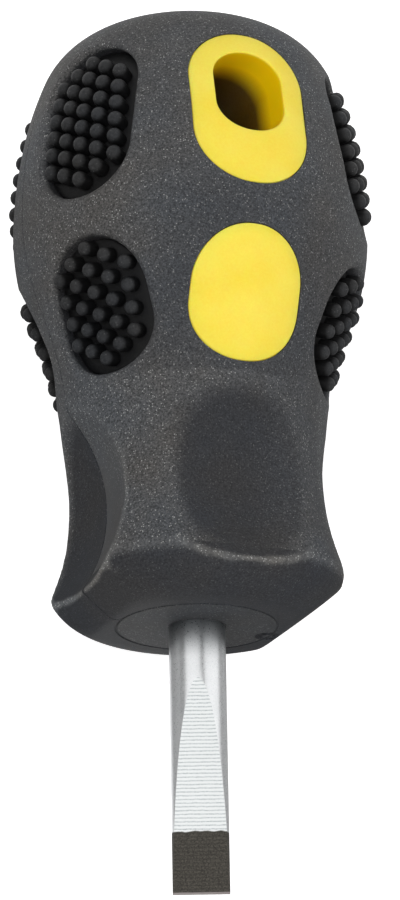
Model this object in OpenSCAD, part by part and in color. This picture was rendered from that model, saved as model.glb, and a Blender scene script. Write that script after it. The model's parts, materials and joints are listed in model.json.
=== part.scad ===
// Stubby slotted screwdriver: a round steel blade in a hard yellow handle core, with a soft grip moulded
// over the core and eight studded pads in the grip's windows.
// Each piece is drawn upright, tip down, with the blade's axis on Z and the hang eye facing -Y.
// lay_down() then turns the tool so that its axis runs along +Y from the tip and the eye faces up.

/* [Blade] */
// Diameter of the round shank
shank_d = 6; // [4:0.1:7]
// How far the blade stands out of the handle
blade_reach = 28.6; // [25.5:0.1:60]
// Thickness of the blade at its end face
tip_t = 1; // [0.6:0.1:1.6]
// Width of the blade at its end face, a little less than the shank
tip_w = 5.9; // [3.6:0.1:5.9]
// Length of the ground flats, from the end face
flats_l = 22.3; // [10:0.1:24]
// How far the taper of the blade's sides runs past the flats
taper_run = 1; // [0.3:0.1:1.4]
// Turn of the flats about the axis, from the hang eye
blade_turn = -21; // [-90:1:90]
// Length of the tang inside the handle
tang_l = 38; // [30:0.5:44]
// Distance from the handle's front face to the wings on the tang
wing_from_front = 14; // [8:0.5:16]
// Length of the wings
wing_l = 12; // [6:0.5:14]
// Width across the wings
wing_w = 10; // [8.4:0.1:12]
// Thickness of the wings
wing_t = 2.4; // [1.5:0.1:3.5]
// Width of the groove that the grip's lip fills at the front face
groove_w = 1.2; // [0.8:0.1:1.8]
// Depth of that groove
groove_depth = 0.4; // [0.2:0.05:0.6]

/* [Handle outline] */
// Length of the handle
handle_l = 68.7; // [68:0.1:72]
// Diameter at the belly, the widest place
belly_d = 38.8; // [37:0.1:42]
// Distance from the front face to the belly
belly_from_front = 44.6; // [43:0.1:46]
// Radius of the domed butt
crown_r = 29; // [26:0.5:34]
// Radius of the shoulder between the butt and the side
shoulder_r = 9.3; // [7:0.1:11]
// Radius of the side above the belly
side_r = 45; // [38:0.5:60]
// Radius of the side below the belly
waist_r = 29.4; // [27:0.1:33]
// Smallest diameter of the hollow neck
neck_d = 28.2; // [27:0.1:30]
// Radius of the neck's hollow, seen from the side
neck_arc_r = 41; // [36:0.5:46]
// Diameter of the flat front face
front_d = 20; // [18.6:0.1:20.6]
// Radius of the dome between the front face and the collar's edge
dome_r = 6.6; // [6:0.1:8]
// Rounding of the collar's edge
collar_round = 1; // [0.4:0.1:1.4]

/* [Finger hollows] */
// Distance from the axis to the floor of the two side hollows
side_floor = 10; // [9.6:0.1:11.5]
// Radius of a side hollow along the handle
side_long_r = 15.2; // [13:0.1:17]
// Radius of a side hollow across the handle
side_cross_r = 32; // [24:0.5:40]
// Distance from the front face to the middle of a side hollow
side_from_front = 11.7; // [11:0.1:13]
// Distance from the axis to the floor of the hollows under the badges
badge_floor = 12.4; // [11.4:0.1:13.4]
// Radius of those hollows along the handle
badge_long_r = 19; // [14:0.5:24]
// Distance from the front face to the middle of those hollows
badge_hollow_from_front = 13.5; // [12:0.1:14.5]

/* [Core] */
// Thickness of the soft grip over the core
grip_wall = 3; // [2.4:0.1:3.6]
// Diameter of the core's stem inside the neck
stem_d = 16; // [14:0.1:17]
// Distance from the front face to the top of the stem
stem_from_front = 20; // [19:0.1:21]
// Length of the cone from the stem to the core's body
stem_cone_l = 2.6; // [2:0.1:4]
// Thickness of the grip in front of the stem
nose_wall = 3; // [2:0.1:5]

/* [Hang eye and badge] */
// Width of the eye
eye_w = 13; // [11:0.1:14]
// Length of the eye
eye_l = 18.6; // [16:0.1:20]
// Distance from the front face to the middle of the eye
eye_from_front = 52.4; // [51.5:0.1:53.5]
// Width of the hang hole
hole_w = 7.8; // [6:0.1:9]
// Length of the hang hole
hole_l = 9.9; // [9.2:0.1:12]
// Distance from the front face to the middle of the hang hole
hole_from_front = 54.2; // [53:0.1:55]
// Width of the badge
badge_w = 12.4; // [10:0.1:13]
// Length of the badge
badge_l = 14; // [13.2:0.1:15]
// Distance from the front face to the middle of the badge
badge_from_front = 31.8; // [31:0.1:32.5]

/* [Studded pads] */
// Angle from the eye to the first column of pads
pad_turn = 58.6; // [57:0.1:61]
// Width of every pad
pad_w = 11.6; // [11:0.1:12.4]
// Length of an upper pad
upper_pad_l = 18; // [17:0.1:19]
// Distance from the front face to the middle of an upper pad
upper_pad_from_front = 52.2; // [51.5:0.1:53]
// Length of a lower pad
lower_pad_l = 14; // [13.4:0.1:15.4]
// Distance from the front face to the middle of a lower pad
lower_pad_from_front = 31.7; // [31:0.1:32.5]
// Depth of a pad's floor below the grip's surface
pad_depth = 1.5; // [1:0.1:2]
// How far a stud stands out of the grip's surface
stud_proud = 0.5; // [0.2:0.1:0.8]
// Diameter of an upper pad's stud
upper_stud_d = 1.75; // [1.2:0.05:1.85]
// Spacing of the upper studs along a column
upper_pitch_l = 2.05; // [1.8:0.05:2.15]
// Spacing of the upper pads' columns
upper_pitch_w = 2.1; // [1.8:0.05:2.2]
// Diameter of a lower pad's stud
lower_stud_d = 1.65; // [1.2:0.05:1.75]
// Spacing of the lower studs along a column
lower_pitch_l = 2.25; // [1.8:0.05:2.3]
// Spacing of the lower pads' columns
lower_pitch_w = 2.05; // [1.8:0.05:2.1]

/* [Hidden] */
$fn = 96;
// How far a cutting shape runs past what it cuts
over = 1;
// How deep a stud is rooted in its pad
stud_root = 0.4;
// How much rounder than its own radius a stud's dome is
dome_ratio = 1.15;
// Studs in each column of a pad. Neighbouring columns differ by one stud, so their studs stand in the gaps
UPPER_COLUMNS = [6, 7, 8, 7, 6];
LOWER_COLUMNS = [4, 5, 6, 5, 4];
// Straight steps that stand for each arc of the outline
CROWN_STEPS = 5;
SHOULDER_STEPS = 7;
SIDE_STEPS = 3;
WAIST_STEPS = 5;
NECK_STEPS = 9;
ROUND_STEPS = 3;
DOME_STEPS = 6;

front_z = blade_reach;
butt_z = front_z + handle_l;
belly_z = front_z + belly_from_front;
belly_r = belly_d / 2;
neck_r = neck_d / 2;
shank_r = shank_d / 2;
reach_out = belly_d;

// Arc centres of the outline, as [distance from the axis, height]
crown_c = [0, butt_z - crown_r];
side_c = [belly_r - side_r, belly_z];
waist_c = [belly_r - waist_r, belly_z];
shoulder_c = circles_meet(crown_c, crown_r - shoulder_r, side_c, side_r - shoulder_r);
neck_x = neck_r + neck_arc_r;
neck_c = [neck_x, belly_z - sqrt(pow(waist_r + neck_arc_r, 2) - pow(neck_x - waist_c.x, 2))];
// Turn of the outward normal where one arc runs into the next
crown_end = bearing(shoulder_c - crown_c);
shoulder_end = bearing(shoulder_c - side_c);
waist_end = bearing(neck_c - waist_c);
// The collar: a dome from the front face towards the neck's hollow. Where the two cross, a rounded edge touches
// both, and where the hollow passes clear of the dome, a straight line does.
dome_c = [front_d / 2, front_z + dome_r];
collar_span = norm(neck_c - dome_c);
has_edge = collar_span < dome_r + neck_arc_r;
round_c = has_edge ? circles_meet(dome_c, dome_r - collar_round, neck_c, neck_arc_r + collar_round) : dome_c;
dome_end = has_edge
    ? bearing(round_c - dome_c)
    : bearing(neck_c - dome_c) - acos((dome_r + neck_arc_r) / collar_span);
neck_end = has_edge ? 360 + bearing(round_c - neck_c) : 180 + dome_end;

// Pads as [node, angle from the eye, middle from the front face, length, columns of studs, stud diameter,
// pitch along a column, pitch of the columns]
PADS = [
    for (side = [["left", -1], ["right", 1]], face = [["front", pad_turn], ["rear", 180 - pad_turn]],
        level = ["upper", "lower"])
        level == "upper"
            ? [str("pad_upper_", face[0], "_", side[0]), side[1] * face[1], upper_pad_from_front, upper_pad_l,
                UPPER_COLUMNS, upper_stud_d, upper_pitch_l, upper_pitch_w]
            : [str("pad_lower_", face[0], "_", side[0]), side[1] * face[1], lower_pad_from_front, lower_pad_l,
                LOWER_COLUMNS, lower_stud_d, lower_pitch_l, lower_pitch_w]
];

function bearing(v) = atan2(v.y, v.x);

// The crossing of two circles that lies to the right on the way from the first centre to the second
function circles_meet(c1, r1, c2, r2) =
    let (d = c2 - c1, l = norm(d), u = d / l, x = (l * l + r1 * r1 - r2 * r2) / (2 * l))
        c1 + x * u + sqrt(r1 * r1 - x * x) * [u.y, -u.x];

// Points on an arc after its first one
function arc(c, r, from, to, steps) =
    [for (i = [1 : steps]) let (a = from + (to - from) * i / steps) c + r * [cos(a), sin(a)]];

// The handle's outline from the butt down to the end of the waist, a distance in from its surface
function upper_outline(inset) = concat(
    [[0, butt_z - inset]],
    arc(crown_c, crown_r - inset, 90, crown_end, CROWN_STEPS),
    arc(shoulder_c, shoulder_r - inset, crown_end, shoulder_end, SHOULDER_STEPS),
    arc(side_c, side_r - inset, shoulder_end, 0, SIDE_STEPS),
    arc(waist_c, waist_r - inset, 0, waist_end, WAIST_STEPS)
);

// The neck's hollow, a distance in from its surface, down to the turn where it ends
function neck_outline(inset, end) = arc(neck_c, neck_arc_r + inset, 180 + waist_end, end, NECK_STEPS);

// The turn at which the neck's hollow, a distance in from its surface, reaches a height
function neck_turn(inset, z) = 180 - asin((z - neck_c.y) / (neck_arc_r + inset));

// The arc under a height of the handle's surface, as [centre, radius, 1 for a bulge or -1 for a hollow]
function arc_at(z) =
    z > crown_c.y + crown_r * sin(crown_end) ? [crown_c, crown_r, 1]
    : z > side_c.y + side_r * sin(shoulder_end) ? [shoulder_c, shoulder_r, 1]
    : z > belly_z ? [side_c, side_r, 1]
    : z > waist_c.y + waist_r * sin(waist_end) ? [waist_c, waist_r, 1]
    : [neck_c, neck_arc_r, -1];
function surface_r(z) = let (c = arc_at(z)) c[0].x + c[2] * sqrt(c[1] * c[1] - pow(z - c[0].y, 2));
// How far the surface's outward normal looks up from level
function surface_tilt(z) = let (c = arc_at(z)) c[2] * asin((z - c[0].y) / c[1]);

module lay_down() {
    rotate([-90, 0, 0]) children();
}

module whole_handle(inset) {
    rotate_extrude() polygon(concat(
        upper_outline(inset),
        neck_outline(inset, neck_end),
        has_edge ? arc(round_c, collar_round, bearing(neck_c - round_c), dome_end, ROUND_STEPS)
            : [dome_c + dome_r * [cos(dome_end), sin(dome_end)]],
        arc(dome_c, dome_r, dome_end, -90, DOME_STEPS),
        [[0, front_z]]
    ));
}

module core_body() {
    stem_top = front_z + stem_from_front;
    rotate_extrude() polygon(concat(
        upper_outline(grip_wall),
        neck_outline(grip_wall, neck_turn(grip_wall, stem_top + stem_cone_l)),
        [[stem_d / 2, stem_top], [stem_d / 2, front_z + nose_wall], [0, front_z + nose_wall]]
    ));
}

// The handle cut back to the floor of the studded pads
module pad_floor() {
    rotate_extrude() polygon(concat(
        upper_outline(pad_depth),
        neck_outline(pad_depth, neck_turn(pad_depth, front_z + stem_from_front)),
        [[0, front_z + stem_from_front]]
    ));
}

module slot_outline(w, l) {
    union() {
        square([w, l - w], center = true);
        for (end = [-1, 1]) translate([0, end * (l - w) / 2]) circle(d = w);
    }
}

// A slot-shaped bar that runs out from the axis at an angle
module radial_slot(angle, from_front, w, l) {
    rotate([0, 0, angle]) translate([0, 0, front_z + from_front]) rotate([90, 0, 0])
        linear_extrude(reach_out) slot_outline(w, l);
}

// A slot-shaped bar right through the handle, from the eye's side to the back
module through_slot(from_front, w, l) {
    translate([0, 0, front_z + from_front]) rotate([90, 0, 0])
        linear_extrude(2 * reach_out, center = true) slot_outline(w, l);
}

module eyes() {
    through_slot(eye_from_front, eye_w, eye_l);
}

module badges() {
    through_slot(badge_from_front, badge_w, badge_l);
}

module hang_hole() {
    through_slot(hole_from_front, hole_w, hole_l);
}

module pad_windows() {
    for (p = PADS) radial_slot(p[1], p[2], pad_w, p[3]);
}

// Two deep hollows at the sides, and two shallow ones under the badges
module finger_hollows() {
    for (angle = [-90, 90])
        rotate([0, 0, angle]) translate([0, -side_floor - side_cross_r, front_z + side_from_front])
            rotate_extrude() intersection() {
                translate([side_cross_r - side_long_r, 0]) circle(r = side_long_r);
                translate([0, -side_long_r - over]) square([side_cross_r + over, 2 * side_long_r + 2 * over]);
            }
    for (angle = [0, 180])
        rotate([0, 0, angle]) translate([0, -badge_floor - badge_long_r, front_z + badge_hollow_from_front])
            rotate([0, 90, 0]) cylinder(r = badge_long_r, h = reach_out, center = true);
}

// One ground flat, as the wedge that the grinding took off
module flat_cut() {
    slope = (shank_r - tip_t / 2) / flats_l;
    rotate([90, 0, 90]) linear_extrude(shank_d + 2 * over, center = true) polygon([
        [tip_t / 2 - slope * over, -over],
        [shank_r + slope * over, flats_l + over],
        [shank_d, flats_l + over],
        [shank_d, -over]
    ]);
}

// A wing's outline, ramped at both ends so that it grows out of the bar
module wings() {
    ramp = (wing_w - shank_d) / 2;
    translate([0, 0, front_z + wing_from_front]) rotate([90, 0, 0])
        linear_extrude(wing_t, center = true) polygon([
            [-wing_w / 2, ramp], [-wing_w / 2, wing_l - ramp], [-shank_r / 2, wing_l],
            [shank_r / 2, wing_l], [wing_w / 2, wing_l - ramp], [wing_w / 2, ramp],
            [shank_r / 2, 0], [-shank_r / 2, 0]
        ]);
}

// The bar: round in the shank and the tang, and tapered a little from the shank to the end face
module round_bar() {
    bar_l = blade_reach + tang_l;
    rotate_extrude() polygon([
        [0, 0], [tip_w / 2, 0], [shank_r, flats_l + taper_run], [shank_r, bar_l], [0, bar_l]
    ]);
}

module blade_bar() {
    rotate([0, 0, blade_turn]) {
        difference() {
            round_bar();
            flat_cut();
            mirror([0, 1, 0]) flat_cut();
            translate([0, 0, front_z]) difference() {
                cylinder(r = shank_r + over, h = groove_w);
                translate([0, 0, -over]) cylinder(r = shank_r - groove_depth, h = groove_w + 2 * over);
            }
        }
        wings();
    }
}

// A stud with a domed end, standing on the XY plane
module stud(d, h) {
    rotate_extrude($fn = 24) intersection() {
        square([d / 2, h]);
        translate([0, h - dome_ratio * d / 2]) union() {
            circle(r = dome_ratio * d / 2);
            translate([0, -h]) square([d, h]);
        }
    }
}

// Columns of studs along the handle, each stud square to the grip's surface
module studs(angle, from_front, columns, d, pitch_l, pitch_w) {
    middle = front_z + from_front;
    height = stud_root + pad_depth + stud_proud;
    turn = pitch_w / surface_r(middle) * 180 / PI;
    for (j = [0 : len(columns) - 1], i = [0 : columns[j] - 1]) {
        z = middle + (i - (columns[j] - 1) / 2) * pitch_l;
        rotate([0, 0, angle + (j - (len(columns) - 1) / 2) * turn]) translate([0, -surface_r(z), z])
            rotate([90 - surface_tilt(z), 0, 0]) translate([0, 0, -pad_depth - stud_root]) stud(d, height);
    }
}

module blade() {
    color("silver") lay_down() blade_bar();
}

module core() {
    color("gold") lay_down() difference() {
        union() {
            core_body();
            intersection() {
                whole_handle(0);
                union() {
                    eyes();
                    badges();
                }
            }
        }
        hang_hole();
        blade_bar();
    }
}

module grip() {
    color("dimgray") lay_down() difference() {
        whole_handle(0);
        finger_hollows();
        core_body();
        eyes();
        badges();
        pad_windows();
        blade_bar();
    }
}

module pad(p) {
    color([0.1, 0.1, 0.1]) lay_down() union() {
        intersection() {
            difference() {
                pad_floor();
                core_body();
            }
            radial_slot(p[1], p[2], pad_w, p[3]);
        }
        studs(p[1], p[2], p[4], p[5], p[6], p[7]);
    }
}

blade();
core();
grip();
for (p = PADS) pad(p);
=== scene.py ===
# %% [markdown]
# A stubby slotted screwdriver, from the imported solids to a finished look.
# The tool lies along +Y with its tip at the origin, and its hang eye faces +Z. Every new piece is modelled
# where the solid that it stands for lies, so nothing has to be fitted afterwards.

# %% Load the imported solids
import json
import math

import bpy
from mathutils import Matrix, Vector


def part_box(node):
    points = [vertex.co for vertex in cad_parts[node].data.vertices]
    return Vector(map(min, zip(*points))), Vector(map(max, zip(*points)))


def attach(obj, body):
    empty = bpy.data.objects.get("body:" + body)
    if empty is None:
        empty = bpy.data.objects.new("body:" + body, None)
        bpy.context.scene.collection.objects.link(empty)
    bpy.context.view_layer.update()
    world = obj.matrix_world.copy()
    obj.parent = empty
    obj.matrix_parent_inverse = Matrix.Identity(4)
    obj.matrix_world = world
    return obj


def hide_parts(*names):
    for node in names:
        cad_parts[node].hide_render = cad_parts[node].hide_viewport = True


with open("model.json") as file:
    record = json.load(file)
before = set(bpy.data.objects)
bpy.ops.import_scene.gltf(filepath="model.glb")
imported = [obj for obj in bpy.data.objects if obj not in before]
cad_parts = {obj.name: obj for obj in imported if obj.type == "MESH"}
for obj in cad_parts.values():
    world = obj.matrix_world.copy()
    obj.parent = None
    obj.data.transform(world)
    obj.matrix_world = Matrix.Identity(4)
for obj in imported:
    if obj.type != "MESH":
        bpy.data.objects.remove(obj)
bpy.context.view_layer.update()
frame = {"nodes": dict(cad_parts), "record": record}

MM = 0.001
print("solids loaded:", sorted(frame["nodes"]))

# %% [markdown]
# The solids give the main places. The handle's front face, its butt and its belly come from the grip's box,
# and the shank's radius comes from its mount, so the looks follow the solids if a size changes there.
# The radii of the outline are repeated here as named sizes in millimetres.

# %% Main places
grip_low, grip_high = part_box("grip")
FRONT = grip_low.y
BUTT = grip_high.y
BELLY_R = grip_high.x
SHANK_R = next(m for m in frame["record"]["mounts"] if m["name"] == "shank")["dims"]["r_mm"] * MM
BELLY = FRONT + 44.6 * MM
print(f"front face {FRONT / MM:.1f} mm, butt {BUTT / MM:.1f} mm, belly radius {BELLY_R / MM:.1f} mm")

# %% [markdown]
# The handle's outline is a chain of arcs that run smoothly into each other, as a mould maker would draw it:
# the domed crown, the shoulder, the side, the waist and the hollow neck, then the collar's small rounding and
# a dome that ends in the flat front face. Where two arcs meet, both centres and the meeting point lie on one
# line, and that is how the missing centres are worked out. An inset draws the same outline further in, for
# the core and for the floor of the studded pads.

# %% Handle outline
CROWN_R = 29 * MM
SHOULDER_R = 9.3 * MM
SIDE_R = 45 * MM
WAIST_R = 29.4 * MM
NECK_R = 14.1 * MM
NECK_ARC_R = 41 * MM
FRONT_R = 10 * MM
DOME_R = 6.6 * MM
COLLAR_ROUND = 1 * MM
ARC_STEP = 0.5 * MM


def bearing(way):
    return math.atan2(way.y, way.x)


def arc(centre, radius, start, end):
    """Points on an arc after its first one, as (distance from the axis, place along it)."""
    steps = max(2, math.ceil(abs(end - start) * radius / ARC_STEP))
    turns = [start + (end - start) * i / steps for i in range(1, steps + 1)]
    return [centre + radius * Vector((math.cos(t), math.sin(t))) for t in turns]


def circles_meet(c1, r1, c2, r2):
    """The crossing of two circles to the right of the way from the first centre to the second."""
    along = c2 - c1
    x = (along.length_squared + r1 * r1 - r2 * r2) / (2 * along.length)
    unit = along.normalized()
    return c1 + x * unit + math.sqrt(r1 * r1 - x * x) * Vector((unit.y, -unit.x))


crown_c = Vector((0, BUTT - CROWN_R))
side_c = Vector((BELLY_R - SIDE_R, BELLY))
waist_c = Vector((BELLY_R - WAIST_R, BELLY))
shoulder_c = circles_meet(crown_c, CROWN_R - SHOULDER_R, side_c, SIDE_R - SHOULDER_R)
neck_x = NECK_R + NECK_ARC_R
neck_drop = math.sqrt((WAIST_R + NECK_ARC_R) ** 2 - (neck_x - waist_c.x) ** 2)
neck_c = Vector((neck_x, BELLY - neck_drop))
crown_end = bearing(shoulder_c - crown_c)
shoulder_end = bearing(shoulder_c - side_c)
waist_end = bearing(neck_c - waist_c)

dome_c = Vector((FRONT_R, FRONT + DOME_R))
round_c = circles_meet(dome_c, DOME_R - COLLAR_ROUND, neck_c, NECK_ARC_R + COLLAR_ROUND)
dome_end = bearing(round_c - dome_c)
neck_end = math.tau + bearing(round_c - neck_c)
collar_y = round_c.y


def upper_outline(inset):
    """From the butt down to the end of the waist, a distance in from the handle's surface."""
    return ([Vector((0, BUTT - inset))]
            + arc(crown_c, CROWN_R - inset, math.pi / 2, crown_end)
            + arc(shoulder_c, SHOULDER_R - inset, crown_end, shoulder_end)
            + arc(side_c, SIDE_R - inset, shoulder_end, 0)
            + arc(waist_c, WAIST_R - inset, 0, waist_end))


def neck_outline(inset, end):
    return arc(neck_c, NECK_ARC_R + inset, math.pi + waist_end, end)


def neck_turn(inset, y):
    return math.pi - math.asin((y - neck_c.y) / (NECK_ARC_R + inset))


handle_outline = (upper_outline(0) + neck_outline(0, neck_end)
                  + arc(round_c, COLLAR_ROUND, bearing(neck_c - round_c), dome_end)
                  + arc(dome_c, DOME_R, dome_end, -math.pi / 2) + [Vector((0, FRONT))])
print(f"outline of {len(handle_outline)} points, collar radius {(round_c.x + COLLAR_ROUND) / MM:.2f} mm")

# %% [markdown]
# Later steps ask how far out the surface lies at a place along the axis, and how much it tilts there. Both
# follow from the arc that the place belongs to.

# %% Helper: the surface at a place
def surface_at(y):
    """The handle's radius at a place along the axis, and the tilt of its surface there."""
    if y > crown_c.y + CROWN_R * math.sin(crown_end):
        centre, radius, way = crown_c, CROWN_R, 1
    elif y > side_c.y + SIDE_R * math.sin(shoulder_end):
        centre, radius, way = shoulder_c, SHOULDER_R, 1
    elif y > BELLY:
        centre, radius, way = side_c, SIDE_R, 1
    elif y > waist_c.y + WAIST_R * math.sin(waist_end):
        centre, radius, way = waist_c, WAIST_R, 1
    else:
        centre, radius, way = neck_c, NECK_ARC_R, -1
    rise = y - centre.y
    return centre.x + way * math.sqrt(radius ** 2 - rise ** 2), way * math.asin(rise / radius)


print(f"radius half way up the handle: {surface_at((FRONT + BUTT) / 2)[0] / MM:.2f} mm")

# %% [markdown]
# Turned pieces start as one corner of a plane that is extruded along the outline, point by point, and then
# spun about the tool's axis. Spinning is what a lathe does, and it leaves an even net of faces to work on.
# The corners that the spin leaves on the axis are merged, and only then are the normals recalculated.

# %% Helpers: choose a piece, turn an outline
WELD = 0.001 * MM
TURN_STEPS = 192


def edit_mode():
    bpy.ops.object.mode_set(mode="EDIT")


def object_mode():
    bpy.ops.object.mode_set(mode="OBJECT")


def only(piece):
    """Makes a piece the one that operators act on."""
    if bpy.context.mode != "OBJECT":
        object_mode()
    bpy.ops.object.select_all(action="DESELECT")
    piece.select_set(True)
    bpy.context.view_layer.objects.active = piece


def primitive(name, operator, **settings):
    """Adds a primitive with nothing else selected, and names it."""
    bpy.ops.object.select_all(action="DESELECT")
    operator(**settings)
    piece = bpy.context.object
    piece.name = name
    return piece


def apply_place(piece):
    """Moves an object's own place, turn and scale into its mesh."""
    only(piece)
    bpy.ops.object.transform_apply(location=True, rotation=True, scale=True)


def close_mesh():
    """In edit mode: merges doubled corners, then points every face outwards."""
    bpy.ops.mesh.select_all(action="SELECT")
    bpy.ops.mesh.remove_doubles(threshold=WELD)
    bpy.ops.mesh.normals_make_consistent(inside=False)


def turned(name, outline, steps=TURN_STEPS):
    """A solid spun about the tool's axis."""
    piece = primitive(name, bpy.ops.mesh.primitive_plane_add, size=MM)
    points = [Vector((p.x, p.y, 0)) for p in outline]
    edit_mode()
    bpy.ops.mesh.merge(type="CENTER")
    bpy.ops.transform.translate(value=points[0])
    for start, end in zip(points, points[1:]):
        bpy.ops.mesh.extrude_region_move(TRANSFORM_OT_translate={"value": end - start})
    bpy.ops.mesh.select_all(action="SELECT")
    bpy.ops.mesh.spin(steps=steps, angle=math.tau, center=(0, 0, 0), axis=(0, 1, 0))
    close_mesh()
    object_mode()
    apply_place(piece)
    return piece


handle = turned("handle_form", handle_outline)
print("handle form:", len(handle.data.polygons), "faces")

# %% [markdown]
# The core's body is the same outline 3 mm further in, with a thin stem inside the neck. The pads' floor lies
# 1.5 mm in. Both are spun like the handle. They serve as tools here: the core's body is cut out of the grip,
# and the floor gives the pads their curve.

# %% Core body and pad floor
GRIP_WALL = 3 * MM
PAD_DEPTH = 1.5 * MM
STEM_R = 8 * MM
STEM_TOP = FRONT + 20 * MM
STEM_CONE = 2.6 * MM
NOSE = FRONT + 3 * MM
CORE_STEPS = 96

core_outline = (upper_outline(GRIP_WALL)
                + neck_outline(GRIP_WALL, neck_turn(GRIP_WALL, STEM_TOP + STEM_CONE))
                + [Vector((STEM_R, STEM_TOP)), Vector((STEM_R, NOSE)), Vector((0, NOSE))])
core_body = turned("core_body", core_outline, CORE_STEPS)
floor_outline = (upper_outline(PAD_DEPTH) + neck_outline(PAD_DEPTH, neck_turn(PAD_DEPTH, STEM_TOP))
                 + [Vector((0, STEM_TOP))])
pad_floor = turned("pad_floor_form", floor_outline)
print("core body and pad floor:", len(core_body.data.polygons), len(pad_floor.data.polygons), "faces")

# %% [markdown]
# The windows in the grip are ovals. An oval bar is a cube at the bar's size whose four long edges are
# bevelled until little of the straight sides is left. The bar is drawn standing on the eye's side and turned
# about the tool's axis to its place.

# %% Helper: oval bars
OVAL_SEGMENTS = 20
BAR_REACH = 30 * MM


def selected_only(faces=(), edges=(), verts=()):
    """Selects faces, edges or corners of the active mesh by index. Called in object mode."""
    mesh = bpy.context.object.data
    mode = ("VERT", "EDGE", "FACE")[0 if verts else 1 if edges else 2]
    edit_mode()
    bpy.ops.mesh.select_mode(type=mode)
    bpy.ops.mesh.select_all(action="DESELECT")
    object_mode()
    for kind, chosen in ((mesh.polygons, faces), (mesh.edges, edges), (mesh.vertices, verts)):
        for i in chosen:
            kind[i].select = True
    edit_mode()


def bevel_edges(edges, width, segments):
    """Rounds edges of the active mesh by index. Called in object mode."""
    selected_only(edges=edges)
    bpy.ops.mesh.bevel(offset=width, segments=segments, profile=0.5, affect="EDGES")
    object_mode()


def oval_bar(name, middle, width, length, low, high, corner):
    """A bar of oval section that stands on the eye's side, from one height over the axis to another."""
    bar = primitive(name, bpy.ops.mesh.primitive_cube_add, size=1, location=(0, middle, (low + high) / 2))
    bar.scale = (width, length, high - low)
    apply_place(bar)
    heights = [v.co.z for v in bar.data.vertices]
    long_edges = [e.index for e in bar.data.edges
                  if abs(heights[e.vertices[0]] - heights[e.vertices[1]]) > WELD]
    bevel_edges(long_edges, corner, OVAL_SEGMENTS)
    return bar


print("oval bars have", OVAL_SEGMENTS, "segments in each corner")

# %% [markdown]
# Further helpers turn a piece to its place, copy it, cut it along a plane, and add a modifier and apply it.
# Most cuts and joints are Boolean modifiers.

# %% Helpers: places, copies and cuts
def turn_about_axis(piece, angle):
    """Turns a piece about the tool's axis, in degrees from the eye towards +X."""
    piece.rotation_euler = (0, math.radians(angle), 0)
    apply_place(piece)


def around(radius, turn, y):
    """The point at a distance from the axis, a turn from the eye towards +X and a place along the axis."""
    return Vector((radius * math.sin(turn), y, radius * math.cos(turn)))


def copy_of(piece, name):
    """A copy with its own mesh."""
    only(piece)
    bpy.ops.object.duplicate()
    twin = bpy.context.object
    twin.name = name
    return twin


def bisect(point, way, throw_outer=False):
    """In edit mode: cuts the whole mesh along a plane. It may throw away the outer part and close the cut."""
    bpy.ops.mesh.select_all(action="SELECT")
    bpy.ops.mesh.bisect(plane_co=point, plane_no=way, use_fill=throw_outer, clear_outer=throw_outer,
                        threshold=WELD)


def apply_modifier(piece, kind, **settings):
    """Adds a modifier with these settings to a piece, and applies it."""
    only(piece)
    step = piece.modifiers.new(kind.title(), kind)
    for key, value in settings.items():
        setattr(step, key, value)
    bpy.ops.object.modifier_apply(modifier=step.name)


def combine(piece, tool, operation, keep_tool=False):
    """Applies a Boolean modifier: DIFFERENCE cuts the tool out, UNION joins it on."""
    apply_modifier(piece, "BOOLEAN", operation=operation, solver="MANIFOLD", object=tool)
    if not keep_tool:
        bpy.data.objects.remove(tool)


# %% [markdown]
# The grip starts as the whole handle. Four finger hollows are cut into its neck first. The two at the sides
# are deep: each is cut by a wheel with a round tread, spun about a line beside the handle. The two on the
# eye's side and behind are shallow, and a plain round bar laid across the handle cuts them. In front of the
# side hollows the collar is drawn in by a flat, which one bisecting plane on each side takes off.

# %% Finger hollows
SIDE_FLOOR = 10 * MM
SIDE_LONG_R = 15.2 * MM
SIDE_CROSS_R = 32 * MM
SIDE_Y = FRONT + 11.7 * MM
BADGE_FLOOR = 12.4 * MM
BADGE_LONG_R = 19 * MM
BADGE_HOLLOW_Y = FRONT + 13.5 * MM
HOLLOW_STEPS = 256
HOLLOW_SIDES = 160
FLAT_FROM = 9.6 * MM
FLAT_RISE = math.radians(40)

hollow_middle = Vector((SIDE_CROSS_R - SIDE_LONG_R, SIDE_Y))
hollow_outline = [Vector((0, SIDE_Y + SIDE_LONG_R)), hollow_middle + Vector((0, SIDE_LONG_R))]
hollow_outline += arc(hollow_middle, SIDE_LONG_R, math.pi / 2, -math.pi / 2)
hollow_outline += [Vector((0, SIDE_Y - SIDE_LONG_R))]
grip = copy_of(handle, "grip_sleeve")
for side in (-1, 1):
    hollow = turned("side_hollow", hollow_outline, HOLLOW_STEPS)
    hollow.location.x = side * (SIDE_FLOOR + SIDE_CROSS_R)
    apply_place(hollow)
    combine(grip, hollow, "DIFFERENCE")
for side in (-1, 1):
    hollow = primitive("shallow_hollow", bpy.ops.mesh.primitive_cylinder_add, vertices=HOLLOW_SIDES,
                       radius=BADGE_LONG_R, depth=4 * BELLY_R, rotation=(0, math.pi / 2, 0),
                       location=(0, BADGE_HOLLOW_Y, side * (BADGE_FLOOR + BADGE_LONG_R)))
    apply_place(hollow)
    combine(grip, hollow, "DIFFERENCE")
only(grip)
edit_mode()
for side in (-1, 1):
    bisect((side * FLAT_FROM, FRONT, 0), (side * math.sin(FLAT_RISE), -math.cos(FLAT_RISE), 0), True)
object_mode()
print("grip with finger hollows:", len(grip.data.polygons), "faces")

# %% [markdown]
# A moulded elastomer has no sharp edges. Bevelling edges that a cut has left is fragile on curved walls, so
# the form is remeshed to an even net of small squares and smoothed: every edge rounds off a little, as in the
# mould. The edges of the finger hollows are softer still on the real handle. A group of weights, painted by
# place, lets a second and longer smoothing reach only there and the corners of the collar.

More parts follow.
